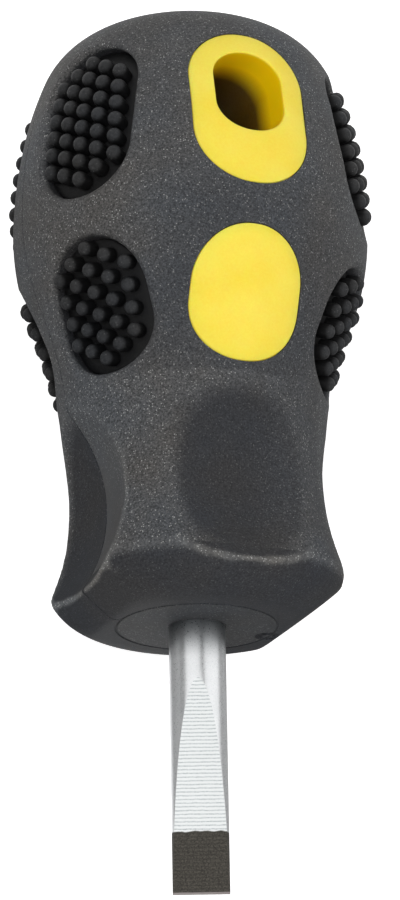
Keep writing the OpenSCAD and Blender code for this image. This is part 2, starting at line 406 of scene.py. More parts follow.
# %% Soften the grip
GRIP_VOXEL = 0.33 * MM
SMOOTHING = 0.5
RIM_PASSES = 7
BLEND_PASSES = 17
BLEND_FADE = 3 * MM
BADGE_HALF_WIDTH = 10.5 * MM
SIDE_HALF_WIDTH = 11 * MM
COLLAR_FROM = 8.8 * MM
BLEND_LOW = FRONT + 1.5 * MM
BLEND_HIGH = FRONT + 24 * MM


def fade(value, low, high):
    """0 below low, 1 above high, and a smooth ramp between."""
    t = min(1, max(0, (value - low) / (high - low)))
    return t * t * (3 - 2 * t)


apply_modifier(grip, "REMESH", mode="VOXEL", voxel_size=GRIP_VOXEL)
apply_modifier(grip, "SMOOTH", factor=SMOOTHING, iterations=RIM_PASSES)
blend = grip.vertex_groups.new(name="soft_hollows")
for corner in grip.data.vertices:
    x, y, z = corner.co
    if y < BLEND_HIGH:
        front = 1 - fade(abs(x), BADGE_HALF_WIDTH - BLEND_FADE, BADGE_HALF_WIDTH)
        side = 1 - fade(abs(z), SIDE_HALF_WIDTH - BLEND_FADE, SIDE_HALF_WIDTH)
        along = fade(y, BLEND_LOW, BLEND_LOW + BLEND_FADE)
        along *= 1 - fade(y, BLEND_HIGH - BLEND_FADE, BLEND_HIGH)
        collar = fade(math.hypot(x, z), COLLAR_FROM, COLLAR_FROM + BLEND_FADE)
        collar *= 1 - fade(y, collar_y + BLEND_FADE, collar_y + 2 * BLEND_FADE)
        blend.add([corner.index], max(front * along, side * along, collar), "REPLACE")
apply_modifier(grip, "SMOOTH", factor=SMOOTHING, iterations=BLEND_PASSES, vertex_group=blend.name)
grip.vertex_groups.clear()
print("softened grip:", len(grip.data.polygons), "faces")

# %% [markdown]
# The two halves of the mould leave a hairline down both sides of the handle, as far as the disc in its front
# face. Three bisecting planes, about a tenth of a millimetre apart, add edges along it, and the middle edge
# is pushed into the surface.

# %% Parting line
RING_R = 8.55 * MM
HAIRLINE = 0.12 * MM
HAIRLINE_DEPTH = 0.22 * MM

only(grip)
edit_mode()
for offset in (-HAIRLINE, 0, HAIRLINE):
    bisect((0, 0, offset), (0, 0, 1))
object_mode()
on_line = [v.index for v in grip.data.vertices
           if abs(v.co.z) < WELD and (abs(v.co.x) > RING_R or v.co.y > FRONT + MM)]
selected_only(verts=on_line)
bpy.ops.transform.shrink_fatten(value=-HAIRLINE_DEPTH)
object_mode()
print("parting line:", len(on_line), "corners pushed in")

# %% [markdown]
# Eight windows for the studded pads follow, in two rows and four columns, cut deeper than the core's surface,
# so that the pads later sit on the core itself. Their rims are rounded, and the tool that cuts them carries
# the rounding: an oval bar whose upper end is extruded in loops. The loops flare out along a quarter circle
# just below the handle's surface and run on past it a little, and the last one is raised clear of the handle.

# %% Pad windows
PAD_TURN = 58.6
PAD_TURNS = {"front_left": -PAD_TURN, "front_right": PAD_TURN,
             "rear_left": PAD_TURN - 180, "rear_right": 180 - PAD_TURN}
PAD_W = 11.6 * MM
PAD_CORNER = 5.6 * MM
UPPER_PAD_L = 18 * MM
UPPER_PAD_Y = FRONT + 52.2 * MM
LOWER_PAD_L = 14 * MM
LOWER_PAD_Y = FRONT + 31.7 * MM
POCKET_FLOOR = 8.5 * MM
POCKET_WALL = 11 * MM
RIM_R = 0.85 * MM
RIM_LOOPS = 6
RIM_END = math.radians(74)
RIM_PAST = 0.7 * MM


def window_tool(name, middle, length):
    """An oval bar whose upper end flares out like the rounded rim that it cuts."""
    tool = oval_bar(name, middle, PAD_W, length, POCKET_FLOOR, POCKET_WALL, PAD_CORNER)
    turns = [RIM_END * i / (RIM_LOOPS - 1) for i in range(RIM_LOOPS)]
    loops = [(RIM_R * (1 - math.cos(t)), RIM_R * (1 - math.sin(t))) for t in turns]
    flare, sunk = loops[-1]
    loops.append((flare + RIM_PAST, sunk - RIM_PAST / math.tan(RIM_END)))
    size = Vector((PAD_W, length))
    top = max(tool.data.polygons, key=lambda face: face.center.z).index
    for flare, sunk in loops + [(flare + RIM_PAST, None)]:
        wider = Vector((PAD_W + 2 * flare, length + 2 * flare))
        selected_only(faces=[top])
        bpy.ops.mesh.extrude_region_move()
        bpy.ops.transform.resize(value=(wider.x / size.x, wider.y / size.y, 1),
                                 center_override=(0, middle, 0))
        object_mode()
        size = wider
        top = next(face.index for face in tool.data.polygons if face.select)
        for i in tool.data.polygons[top].vertices:
            corner = tool.data.vertices[i].co
            radius, tilt = surface_at(corner.y)
            corner.z = BAR_REACH
            if sunk is not None:
                corner.z = math.sqrt((radius - sunk / math.cos(tilt)) ** 2 - corner.x ** 2)
    return tool


for middle, length in ((UPPER_PAD_Y, UPPER_PAD_L), (LOWER_PAD_Y, LOWER_PAD_L)):
    model = window_tool("window_tool", middle, length)
    for angle in PAD_TURNS.values():
        window = copy_of(model, "window")
        turn_about_axis(window, angle)
        combine(grip, window, "DIFFERENCE")
    bpy.data.objects.remove(model)
print("grip with pad windows:", len(grip.data.polygons), "faces")

# %% [markdown]
# Now the sharp openings are cut into the softened sleeve: the room for the core, the windows of the eye and
# the badge, and the hole for the shank. They stay crisp, because the yellow core fills them and only a
# hairline shows between the two materials. The mould also leaves a ring on the front face and a small oval
# mark where the material flowed in, both cut as fine grooves.

# %% Openings and mould marks
EYE_W, EYE_L, EYE_Y = 13 * MM, 18.6 * MM, FRONT + 52.4 * MM
EYE_CORNER = 6.3 * MM
BADGE_W, BADGE_L, BADGE_Y = 12.4 * MM, 14 * MM, FRONT + 31.8 * MM
BADGE_CORNER = 6 * MM
MOUTH_GAP = 0.04 * MM
MOUTH_L = 40 * MM
MOUTH_SIDES = 128
RING_GROOVE = 0.16 * MM
GATE_TURN, GATE_R = 96, 8.4 * MM
GATE_SIZE = 0.95 * MM
GATE_GROOVE = 0.4 * MM
RING_SEGMENTS, GROOVE_SEGMENTS = 160, 10

combine(grip, core_body, "DIFFERENCE", keep_tool=True)
for middle, width, length, corner in ((EYE_Y, EYE_W, EYE_L, EYE_CORNER),
                                      (BADGE_Y, BADGE_W, BADGE_L, BADGE_CORNER)):
    window = oval_bar("window", middle, width, length, -BAR_REACH, BAR_REACH, corner)
    combine(grip, window, "DIFFERENCE")
mouth = primitive("mouth", bpy.ops.mesh.primitive_cylinder_add, vertices=MOUTH_SIDES, depth=MOUTH_L,
                  radius=SHANK_R + MOUTH_GAP, rotation=(math.pi / 2, 0, 0), location=(0, FRONT, 0))
apply_place(mouth)
combine(grip, mouth, "DIFFERENCE")


def ring_groove(radius, groove, place=0, turn=0):
    """Cuts a ring groove into the front face. The ring may stand off the axis."""
    ring = primitive("ring", bpy.ops.mesh.primitive_torus_add, major_radius=radius, minor_radius=groove,
                     major_segments=RING_SEGMENTS, minor_segments=GROOVE_SEGMENTS,
                     rotation=(math.pi / 2, 0, 0), location=(0, FRONT, place))
    apply_place(ring)
    turn_about_axis(ring, turn)
    combine(grip, ring, "DIFFERENCE")


ring_groove(RING_R, RING_GROOVE)
ring_groove(GATE_SIZE, GATE_GROOVE, GATE_R, GATE_TURN)
print("finished grip:", len(grip.data.polygons), "faces")

# %% [markdown]
# The yellow plugs that show in the grip's windows need clean, rounded rims, so they are not cut but built: an
# oval bar, whose two end faces are inset again and again, so that rings of faces lead to the middle. The end
# faces are then pressed onto the handle's form by a Shrinkwrap modifier, and the rims are bevelled on those
# clean rings.

# %% Helper: plugs that follow the handle
SEAM = 0.07 * MM
RIM_BEVEL = 0.14 * MM
RIM_STEPS = 2
SQUARE_ON = 0.9
WALL_TILT, END_TILT = 0.3, 0.45


def end_faces(piece):
    """The faces that look up or down, at the two ends of an oval bar."""
    return [f.index for f in piece.data.polygons if abs(f.normal.z) > SQUARE_ON]


def end_faces_inner(piece):
    """The two faces with the most corners: the middle of each end."""
    return sorted(end_faces(piece), key=lambda i: -len(piece.data.polygons[i].vertices))[:2]


def ring_size(piece, corners):
    """Width, length and middle of a ring of corners."""
    xs = [piece.data.vertices[i].co.x for i in corners]
    ys = [piece.data.vertices[i].co.y for i in corners]
    return max(xs) - min(xs), max(ys) - min(ys), (max(ys) + min(ys)) / 2


def even_rings(count):
    """Rings at equal steps towards the middle of a plug."""
    return [(1 - i / count, 1 - i / count, 0) for i in range(1, count)]


def ringed_plug(name, middle, width, length, low, high, corner, rings):
    """An oval bar with rings on both ends. Each ring is (scale across, scale along, shift along)."""
    plug = oval_bar(name, middle, width, length, low, high, corner)
    for across, along, shift in rings:
        selected_only(faces=end_faces_inner(plug))
        bpy.ops.mesh.inset(thickness=0)
        object_mode()
        inner = [v for f in plug.data.polygons if f.select for v in f.vertices]
        size = ring_size(plug, inner)
        edit_mode()
        bpy.ops.transform.resize(value=(across * width / size[0], along * length / size[1], 1),
                                 center_override=(0, size[2], 0))
        bpy.ops.transform.translate(value=(0, middle + shift - size[2], 0))
        object_mode()
    return plug


def press_on(piece, form, upper=True, lower=True):
    """Presses the top, the bottom or both ends of a plug onto a form, along the plug's own axis."""
    middle_z = sum(v.co.z for v in piece.data.vertices) / len(piece.data.vertices)
    ends = {i for f in end_faces(piece) for i in piece.data.polygons[f].vertices}
    chosen = [i for i in ends if (upper and piece.data.vertices[i].co.z > middle_z)
              or (lower and piece.data.vertices[i].co.z < middle_z)]
    group = piece.vertex_groups.new(name="ends")
    group.add(chosen, 1, "REPLACE")
    apply_modifier(piece, "SHRINKWRAP", target=form, wrap_method="PROJECT", use_project_z=True,
                   use_negative_direction=True, use_positive_direction=True, vertex_group=group.name)
    piece.vertex_groups.clear()


def faces_by_edge(mesh):
    """The faces at each edge, under the edge's key."""
    faces_of = {}
    for face in mesh.polygons:
        for key in face.edge_keys:
            faces_of.setdefault(key, []).append(face)
    return faces_of


def bevel_rim(piece, width, segments, chosen):
    """Rounds the edges between an end face and a wall whose middle passes the test."""
    mesh = piece.data
    faces_of = faces_by_edge(mesh)
    rim = []
    for edge in mesh.edges:
        pair = faces_of.get(edge.key, [])
        if len(pair) == 2:
            flats = sorted(abs(f.normal.z) for f in pair)
            middle = (mesh.vertices[edge.vertices[0]].co + mesh.vertices[edge.vertices[1]].co) / 2
            if flats[0] < WALL_TILT and flats[1] > END_TILT and chosen(middle):
                rim.append(edge.index)
    only(piece)
    bevel_edges(rim, width, segments)
    return len(rim)


# %% [markdown]
# The hang eye is such a plug with a hole through it, from the front of the handle to the back. Its rings lead
# from the eye's outline to the hole's, which lies a little nearer to the butt. The two middle faces are then
# removed and their rims bridged, which makes the wall of the hole.

# %% Hang eye
HOLE_W, HOLE_L, HOLE_Y = 7.8 * MM, 9.9 * MM, FRONT + 54.2 * MM
HOLE_RIM = 0.25 * MM
HOLE_RIM_STEPS = 5
HOLE_REACH = 0.56
HOLE_CUTS = 24
EYE_RINGS = 5

rings = [(1 + (HOLE_W / EYE_W - 1) * t, 1 + (HOLE_L / EYE_L - 1) * t, (HOLE_Y - EYE_Y) * t)
         for t in (i / EYE_RINGS for i in range(1, EYE_RINGS + 1))]
eye = ringed_plug("eye_plug", EYE_Y, EYE_W - 2 * SEAM, EYE_L - 2 * SEAM, -BAR_REACH, BAR_REACH,
                  EYE_CORNER - SEAM, rings)
only(eye)
selected_only(faces=end_faces_inner(eye))
bpy.ops.mesh.delete(type="FACE")
object_mode()
press_on(eye, handle)
faces_of = faces_by_edge(eye.data)
selected_only(edges=[e.index for e in eye.data.edges if len(faces_of.get(e.key, [])) == 1])
bpy.ops.mesh.bridge_edge_loops(number_cuts=HOLE_CUTS, interpolation="LINEAR")
close_mesh()
object_mode()


def in_hole(point):
    """Whether a point lies in the hole or on its rim, seen from the eye's side."""
    return math.hypot(point.x / HOLE_W, (point.y - HOLE_Y) / HOLE_L) < HOLE_REACH


hole_edges = bevel_rim(eye, HOLE_RIM, HOLE_RIM_STEPS, in_hole)
rim_edges = bevel_rim(eye, RIM_BEVEL, RIM_STEPS, lambda point: not in_hole(point))
print("hang eye:", hole_edges, "edges round the hole,", rim_edges, "round the eye")

# %% [markdown]
# The badge is the same kind of plug without a hole. The core's body makes room for the eye, a little less
# than the eye fills, so that nothing stands in its hole. Then both plugs are joined to the body inside the
# grip, where nobody sees the joint, and the whole core is one piece of hard plastic.

# %% Badge and core
BADGE_RINGS = 6
OVERLAP = 0.8 * MM

badge = ringed_plug("badge_plug", BADGE_Y, BADGE_W - 2 * SEAM, BADGE_L - 2 * SEAM, -BAR_REACH, BAR_REACH,
                    BADGE_CORNER - SEAM, even_rings(BADGE_RINGS))
press_on(badge, handle)
badge_edges = bevel_rim(badge, RIM_BEVEL, RIM_STEPS, lambda point: True)
core = copy_of(core_body, "core_moulded")
room = oval_bar("eye_room", EYE_Y, EYE_W - OVERLAP, EYE_L - OVERLAP, -BAR_REACH, BAR_REACH,
                EYE_CORNER - OVERLAP / 2)
combine(core, room, "DIFFERENCE")
combine(core, eye, "UNION")
combine(core, badge, "UNION")
print("badge rim:", badge_edges, "edges; core:", len(core.data.polygons), "faces")

# %% [markdown]
# The blade is a round bar. Its sides taper a little towards the end face, and two flats are ground onto it,
# each by one bisecting plane that throws away what lies outside and closes the cut. The grinding wheel has
# left fine lines across the flats, about four tenths of a millimetre apart: bisecting planes cut across the
# blade there, and the middle line of each three is lowered.

# %% Blade
BLADE_TURN = -21
TANG_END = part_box("blade")[1].y
TIP_W = 5.96 * MM
TIP_T = 1 * MM
FLATS_L = 22.3 * MM
TAPER_L = FLATS_L + 1 * MM
BAR_SIDES = 128
LINE_PITCH = 0.384 * MM
LINE_WIDTH = 0.17 * MM
LINE_DEPTH = 0.016 * MM
LINES_END = FLATS_L - 0.4 * MM
OXIDE_L = 6.3 * MM
TIP_LINE_DEPTH = 0.01 * MM

blade = primitive("blade_ground", bpy.ops.mesh.primitive_cylinder_add, vertices=BAR_SIDES, radius=SHANK_R,
                  depth=TANG_END, rotation=(math.pi / 2, 0, 0), location=(0, TANG_END / 2, 0))
apply_place(blade)
edit_mode()
bisect((0, TAPER_L, 0), (0, 1, 0))
object_mode()
selected_only(verts=[v.index for v in blade.data.vertices if v.co.y < WELD])
bpy.ops.transform.resize(value=(TIP_W / 2 / SHANK_R, 1, TIP_W / 2 / SHANK_R), center_override=(0, 0, 0))
slope = math.atan2(SHANK_R - TIP_T / 2, FLATS_L)
flat_ways = [Vector((0, -math.sin(slope), side * math.cos(slope))) for side in (-1, 1)]
for side, way in zip((-1, 1), flat_ways):
    bisect((0, 0, side * TIP_T / 2), way, True)
for i in range(1, int(LINES_END / LINE_PITCH)):
    for offset in (-LINE_WIDTH / 2, 0, LINE_WIDTH / 2):
        bisect((0, i * LINE_PITCH + offset, 0), (0, 1, 0))
close_mesh()
object_mode()
lowered = 0
for side, way in zip((-1, 1), flat_ways):
    for zone, depth in ((lambda y: y > OXIDE_L, LINE_DEPTH), (lambda y: y <= OXIDE_L, TIP_LINE_DEPTH)):
        on_lines = []
        for corner in blade.data.vertices:
            step = corner.co.y / LINE_PITCH
            on_flat = abs((corner.co - Vector((0, 0, side * TIP_T / 2))).dot(way)) < 2 * WELD
            on_line = abs(step - round(step)) * LINE_PITCH < WELD and corner.co.y > WELD
            if on_flat and on_line and zone(corner.co.y):
                on_lines.append(corner.index)
        selected_only(verts=on_lines)
        bpy.ops.transform.translate(value=-depth * way)
        object_mode()
        lowered += len(on_lines)
print("blade:", len(blade.data.polygons), "faces,", lowered, "corners lowered on the grinding lines")

# %% [markdown]
# Inside the handle the bar carries two flat wings, which keep it from turning in the plastic. They are one
# block, drawn in at both ends, joined to the bar. The finished bar is then turned to the angle at which it
# sits in the handle.

# %% Wings
WING_Y = FRONT + 14 * MM
WING_L, WING_W, WING_T = 12 * MM, 10 * MM, 2.4 * MM
WING_RAMP = 2 * MM
WING_DRAW = 0.35

wings = primitive("wings", bpy.ops.mesh.primitive_cube_add, size=1, location=(0, WING_Y + WING_L / 2, 0))
wings.scale = (WING_W, WING_L, WING_T)
apply_place(wings)
edit_mode()
for y in (WING_Y + WING_RAMP, WING_Y + WING_L - WING_RAMP):
    bisect((0, y, 0), (0, 1, 0))
object_mode()
selected_only(verts=[v.index for v in wings.data.vertices
                     if v.co.y < WING_Y + WELD or v.co.y > WING_Y + WING_L - WELD])
bpy.ops.transform.resize(value=(WING_DRAW, 1, 1), center_override=(0, 0, 0))
object_mode()
combine(blade, wings, "UNION")
turn_about_axis(blade, BLADE_TURN)
combine(core, blade, "DIFFERENCE", keep_tool=True)
print("blade with wings:", len(blade.data.polygons), "faces")

# %% [markdown]
# The studded pads repeat, so one upper and one lower pad are modelled on the eye's side and copied to their
# places. A pad's plate is a ringed plug, pressed onto the pad floor above and onto the core below. One stud
# is a fourteen-sided bar whose top edge is bevelled to a dome. Its copies stand square to the handle's
# surface in five columns, each column half a step off its neighbours, and are joined to the plate.

# %% Studs
STUD_SIDES = 14
STUD_PROUD = 0.5 * MM
STUD_ROOT = 0.4 * MM
STUD_DOME, STUD_DOME_STEPS = 0.45, 4
PAD_SEAM = 0.06 * MM
PLATE_LOW = 5 * MM
PLATE_BEVEL = 0.2 * MM
PLATE_RINGS = 6


def model_stud(diameter):
    """One domed stud, standing on the origin along +Z."""
    height = STUD_ROOT + PAD_DEPTH + STUD_PROUD
    stud = primitive("stud", bpy.ops.mesh.primitive_cylinder_add, vertices=STUD_SIDES, radius=diameter / 2,
                     depth=height, location=(0, 0, height / 2))
    apply_place(stud)
    top = next(f for f in stud.data.polygons if f.normal.z > SQUARE_ON)
    rim = [e.index for e in stud.data.edges if set(e.vertices) <= set(top.vertices)]
    bevel_edges(rim, STUD_DOME * diameter, STUD_DOME_STEPS)
    return stud


def model_pad(name, middle, length, columns, diameter, pitch_along, pitch_across):
    """A plate with columns of studs, on the eye's side. columns gives the number of studs in each."""
    plate = ringed_plug(name, middle, PAD_W - 2 * PAD_SEAM, length - 2 * PAD_SEAM, PLATE_LOW, BAR_REACH,
                        PAD_CORNER - PAD_SEAM, even_rings(PLATE_RINGS))
    press_on(plate, pad_floor, lower=False)
    press_on(plate, core_body, upper=False)
    bevel_rim(plate, PLATE_BEVEL, RIM_STEPS, lambda point: point.z > PLATE_LOW)
    stud = model_stud(diameter)
    middle_r = surface_at(middle)[0]
    copies = []
    for j, count in enumerate(columns):
        turn = (j - (len(columns) - 1) / 2) * pitch_across / middle_r
        for i in range(count):
            y = middle + (i - (count - 1) / 2) * pitch_along
            radius, tilt = surface_at(y)
            way = around(math.cos(tilt), turn, math.sin(tilt))
            twin = copy_of(stud, "stud")
            twin.rotation_euler = (-tilt, turn, 0)
            twin.location = around(radius, turn, y) - (PAD_DEPTH + STUD_ROOT) * way
            copies.append(twin)
    bpy.data.objects.remove(stud)
    bpy.ops.object.select_all(action="DESELECT")
    for twin in copies:
        twin.select_set(True)
    bpy.context.view_layer.objects.active = copies[0]
    bpy.ops.object.join()
    field = bpy.context.object
    apply_place(field)
    combine(plate, field, "UNION")
    return plate


upper_pad = model_pad("upper_pad", UPPER_PAD_Y, UPPER_PAD_L, (6, 7, 8, 7, 6), diameter=1.75 * MM,
                      pitch_along=2.05 * MM, pitch_across=2.1 * MM)
lower_pad = model_pad("lower_pad", LOWER_PAD_Y, LOWER_PAD_L, (4, 5, 6, 5, 4), diameter=1.65 * MM,
                      pitch_along=2.25 * MM, pitch_across=2.05 * MM)
print("upper pad:", len(upper_pad.data.polygons), "faces; lower pad:", len(lower_pad.data.polygons), "faces")

# %% [markdown]
# Each column of windows gets a copy of both pads, turned about the tool's axis. Every copy has its own mesh,
# because each pad is a piece of its own. The forms that only served as tools are removed.

# %% Copy the pads to their columns
pads = {}
for place, angle in PAD_TURNS.items():
    for level, model in (("upper", upper_pad), ("lower", lower_pad)):
        node = f"pad_{level}_{place}"
        pad = copy_of(model, node + "_moulded")
        turn_about_axis(pad, angle)
        pads[node] = pad
for tool in (upper_pad, lower_pad, handle, core_body, pad_floor):
    bpy.data.objects.remove(tool)
print("pads:", sorted(pads))

# %% [markdown]
# Shading: curved faces are smoothed, and edges sharper than the given angle stay crisp.

# %% Shade the pieces
for piece, angle in [(grip, 40), (core, 35), (blade, 12)] + [(pad, 50) for pad in pads.values()]:
    only(piece)
    bpy.ops.object.shade_smooth_by_angle(angle=math.radians(angle))
    print(piece.name, len(piece.data.polygons), "faces")

# %% [markdown]
# Materials are node trees that read Object coordinates, so a grain has its real size on every piece.

# %% Helpers: node trees


def new_material(name):
    material = bpy.data.materials.new(name)
    material.use_nodes = True
    return material, material.node_tree, material.node_tree.nodes["Principled BSDF"]


def connect(tree, node, inputs):
    """Fills a node's inputs: a socket is linked, and anything else is set as the value."""
    for key, value in inputs.items():
        if isinstance(value, bpy.types.NodeSocket):
            tree.links.new(value, node.inputs[key])
        else:
            node.inputs[key].default_value = value


def add(tree, kind, inputs=None, **settings):
    node = tree.nodes.new(kind)
    for key, value in settings.items():
        setattr(node, key, value)
    connect(tree, node, inputs or {})
    return node


def object_place(tree):
    return add(tree, "ShaderNodeTexCoord").outputs["Object"]


def attribute(tree, name):
    return add(tree, "ShaderNodeAttribute", attribute_name=name).outputs["Fac"]


def noise(tree, place, scale, detail=2.0, roughness=0.5):
    return add(tree, "ShaderNodeTexNoise", {"Vector": place, "Scale": scale, "Detail": detail,
                                            "Roughness": roughness}).outputs["Fac"]


def ramp(tree, value, low, high, out_low=0.0, out_high=1.0):
    return add(tree, "ShaderNodeMapRange", {"Value": value, "From Min": low, "From Max": high,
                                            "To Min": out_low, "To Max": out_high}).outputs["Result"]


def blend_colours(tree, factor, first, second, how="MIX"):
    first, second = [(*colour, 1) if isinstance(colour, tuple) else colour for colour in (first, second)]
    return add(tree, "ShaderNodeMix", {0: factor, 6: first, 7: second}, data_type="RGBA",
               blend_type=how).outputs[2]


def bump(tree, shader, height, strength, distance):
    node = add(tree, "ShaderNodeBump", {"Height": height, "Strength": strength, "Distance": distance})
    connect(tree, shader, {"Normal": node.outputs["Normal"]})


def math_node(tree, operation, *values):
    return add(tree, "ShaderNodeMath", dict(enumerate(values)), operation=operation).outputs["Value"]


# %% [markdown]
# Some patterns follow the form and not a straight axis. The grip is paler where it stands proud, partly from
# rubbing and partly as painted light, and darker in its windows, grooves and front hollow, under its collar
# and round the badge, which is painted shade; its side hollows get painted light on their front half and
# painted shade on their back half. It is palest along the edges of its hollows and collar, where wear meets a
# painted highlight, and smooth where fingers polish the front half of the side hollows. The studs are paler
# on their domes, a painted highlight, and darker on their flanks and plate, painted shade, and the wall of
# the hang hole gets painted light near its rim and painted shade with depth. Each is painted by place into
# an attribute of the mesh, as weights are.

# %% Paint attributes by place
# Painted shade and painted light on the grip: a dark patch in the front hollow with a lighter right part,
# light and shade on the two halves of the side hollows, shade in the windows and round the badge, and a
# middle tone on the face.
PATCH_W, PATCH_L, PATCH_Y = 6.8 * MM, 9.2 * MM, FRONT + 12.9 * MM
HALF_EDGE = {True: (1.4 * MM, 4.2 * MM), False: (0.2 * MM, 1.4 * MM)}
HALF_SHARE = {True: 0.9, False: 0.05}
RIM_EDGE, RIM_DEEP = 0.4 * MM, 1.1 * MM
# The painted highlight on the studs' domes fades out between these depths.
DOME_LOW = 0.75 * MM
DOME_HIGH = 0.1 * MM
# An edge that bends this sharply gets the pale edge tone: wear, and a painted highlight.
BEND_LOW, BEND_HIGH = 0.02, 0.07
BADGE_SPAN = 1.2, 2.6
BADGE_SHARE = 0.5
RIGHT_SHARE = 0.7
PATCH_RIGHT = 0.25
PATCH_POWER = 2.5
PATCH_FADE = 0.6, 1.4
FACE_DEEP = 0.1 * MM
FACE_SHARE = 0.35
EDGE_FROM = FRONT + 2.2 * MM


def paint(piece, name, value_at):
    layer = piece.data.attributes.new(name, "FLOAT", "POINT")
    for corner, cell in zip(piece.data.vertices, layer.data):
        cell.value = value_at(corner.co)


def paint_edges(piece, name):
    """1 at the edges of the finger hollows and the collar, where the surface bends outwards: wear, and a
    painted highlight along the lips.
    """
    layer = piece.data.attributes.new(name, "FLOAT", "POINT")
    corners = piece.data.vertices
    bends = [0.0] * len(corners)
    counts = [0] * len(corners)
    for edge in piece.data.edges:
        first, second = edge.vertices
        for here, there in ((first, second), (second, first)):
            way = (corners[there].co - corners[here].co).normalized()
            bends[here] -= way.dot(corners[here].normal)
            counts[here] += 1
    for corner, bend, count, cell in zip(corners, bends, counts, layer.data):
        if abs(corner.co.z) > 2 * HAIRLINE and EDGE_FROM < corner.co.y < BLEND_HIGH:
            cell.value = fade(bend / count, BEND_LOW, BEND_HIGH)


def below_form(co):
    """How far a point lies below the handle's full form."""
    return surface_at(co.y)[0] - math.hypot(co.x, co.z)


def in_side_hollow(co):
    """How deep a point lies in a side hollow, from 0 at its edge to 1."""
    if abs(co.x) < abs(co.z) or not collar_y < co.y < BLEND_HIGH:
        return 0
    return fade(below_form(co), *HALF_EDGE[co.z > 0])


gate_c = around(GATE_R, math.radians(GATE_TURN), FRONT)


def grip_rubbed_and_lit(co):
    """From 1 on the handle's full form, where it stands proud, is lit and shows rubbing, to 0 in painted
    shade: in the windows, under the collar and along the parting line.
    """
    radius = math.hypot(co.x, co.z)
    # Painted shade: the groove of the gate mark and the parting line are darkest.
    if (co - gate_c).length < GATE_SIZE + GATE_GROOVE or abs(co.z) < WELD and radius > RING_R:
        return 0
    if co.y < FRONT + FACE_DEEP and radius < RING_R:
        return FACE_SHARE
    # Painted shade under the collar, paler only along its lip.
    if co.y < collar_y:
        return 1 - fade(below_form(co), 0, MM)
    # Painted shade in the windows, and round the badge.
    if co.y > BLEND_HIGH:
        near_badge = 1 - fade(math.hypot(2 * co.x / BADGE_W, 2 * (co.y - BADGE_Y) / BADGE_L), *BADGE_SPAN)
        return (1 - (1 - BADGE_SHARE) * near_badge) * (1 - fade(below_form(co), RIM_EDGE, RIM_DEEP))
    # Side hollows: painted light on the front half, painted shade on the back half.
    if abs(co.x) > abs(co.z):
        return 1 - in_side_hollow(co) * (1 - HALF_SHARE[co.z > 0])
    # Front hollow: a dark patch of painted shade, lighter on its right part as painted light.
    patch = (abs(co.x) / PATCH_W) ** PATCH_POWER + (abs(co.y - PATCH_Y) / PATCH_L) ** PATCH_POWER
    right = fade(co.x, 0, PATCH_W)
    return max(fade(patch, *PATCH_FADE) * (1 - (1 - RIGHT_SHARE) * right), PATCH_RIGHT * right)


def grip_polished(co):
    return in_side_hollow(co) if co.z > 0 else 0


def stud_lit_tops(co):
    """From 1 on top of the domes, a painted highlight, to 0 on their flanks and on the plate, painted shade.
    """
    return 1 - fade(below_form(co) + STUD_PROUD, DOME_HIGH, DOME_LOW)


def hole_depth(co):
    """Depth in the hang hole in millimetres, and 0 everywhere else."""
    return max(0, below_form(co)) / MM if in_hole(co) else 0


paint(grip, "rubbed_and_lit", grip_rubbed_and_lit)
paint_edges(grip, "worn_and_highlit")
paint(grip, "polished", grip_polished)
paint(core, "depth", hole_depth)
for pad in pads.values():
    paint(pad, "rubbed_and_lit", stud_lit_tops)
print("painted: the grip, the core and", len(pads), "pads")

# %% [markdown]
# The grip is a matt elastomer. Its dark grey is mottled at the scale of a fifth of a millimetre and clouded
# by handling at the scale of a centimetre, and a few pale specks of filler show in it: cells of a Voronoi
# pattern, of which some are kept. Places in shelter are painted darker and a little bluish, which is painted
# shade, and show fewer specks; places that stand proud are paler, partly from wear and partly as painted
# light. The pads are the same elastomer in black. Scales are in repeats per metre.

# %% Elastomers
COOL, WARM = (0.95, 1.0, 1.06), (1.05, 1.0, 0.94)
# The pale edge grey is wear and a painted highlight.
EDGE_GREY = (0.19, 0.19, 0.185)
GRAIN_SCALE, SPECK_SCALE = 4600, 6800
PATCH_SCALE, CLOUD_SCALE = 130, 90
EDGE_SPECKS, EDGE_SHARE = 0.15, 0.35


